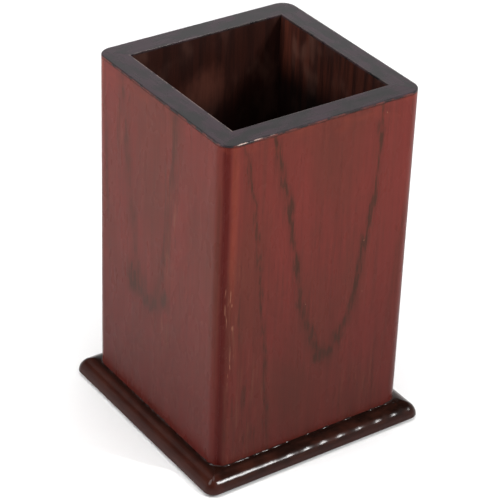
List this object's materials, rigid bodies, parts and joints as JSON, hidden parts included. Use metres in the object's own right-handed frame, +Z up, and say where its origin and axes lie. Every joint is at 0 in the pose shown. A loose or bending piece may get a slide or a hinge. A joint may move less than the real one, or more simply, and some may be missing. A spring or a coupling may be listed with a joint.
{
  "type": "pen holder cup",
  "caption": "Square open-topped wooden pen cup of mitred stained boards with a dark edged rim, on a wider moulded base plate with a felt pad.",
  "frame": {"origin": "middle of the felt pad's underside, where the cup rests", "axes": "+Z up through the open top, -Y out of the front wall, +X out of the right wall"},
  "size_m": [0.0852, 0.0852, 0.1243],
  "materials": {
    "stained_wood": "red-brown stain under satin-gloss lacquer",
    "dark_edging": "dark grey-brown satin lacquer",
    "dark_lacquer": "near-black brown stain under thick gloss lacquer",
    "inner_wood": "dark stain, thin matt sealer",
    "felt": "pressed black felt",
    "zinc_steel": "zinc plated"
  },
  "bodies": {
    "root": {"felt_pad": "felt", "base_plate": "dark_lacquer", "floor_panel": "inner_wood", "front_wall": "stained_wood", "right_wall": "stained_wood", "back_wall": "stained_wood", "left_wall": "stained_wood", "rim_edging_front": "dark_edging", "rim_edging_right": "dark_edging", "rim_edging_back": "dark_edging", "rim_edging_left": "dark_edging", "base_screw_1": "zinc_steel", "base_screw_2": "zinc_steel", "base_screw_3": "zinc_steel", "base_screw_4": "zinc_steel"}
  },
  "joints": []
}
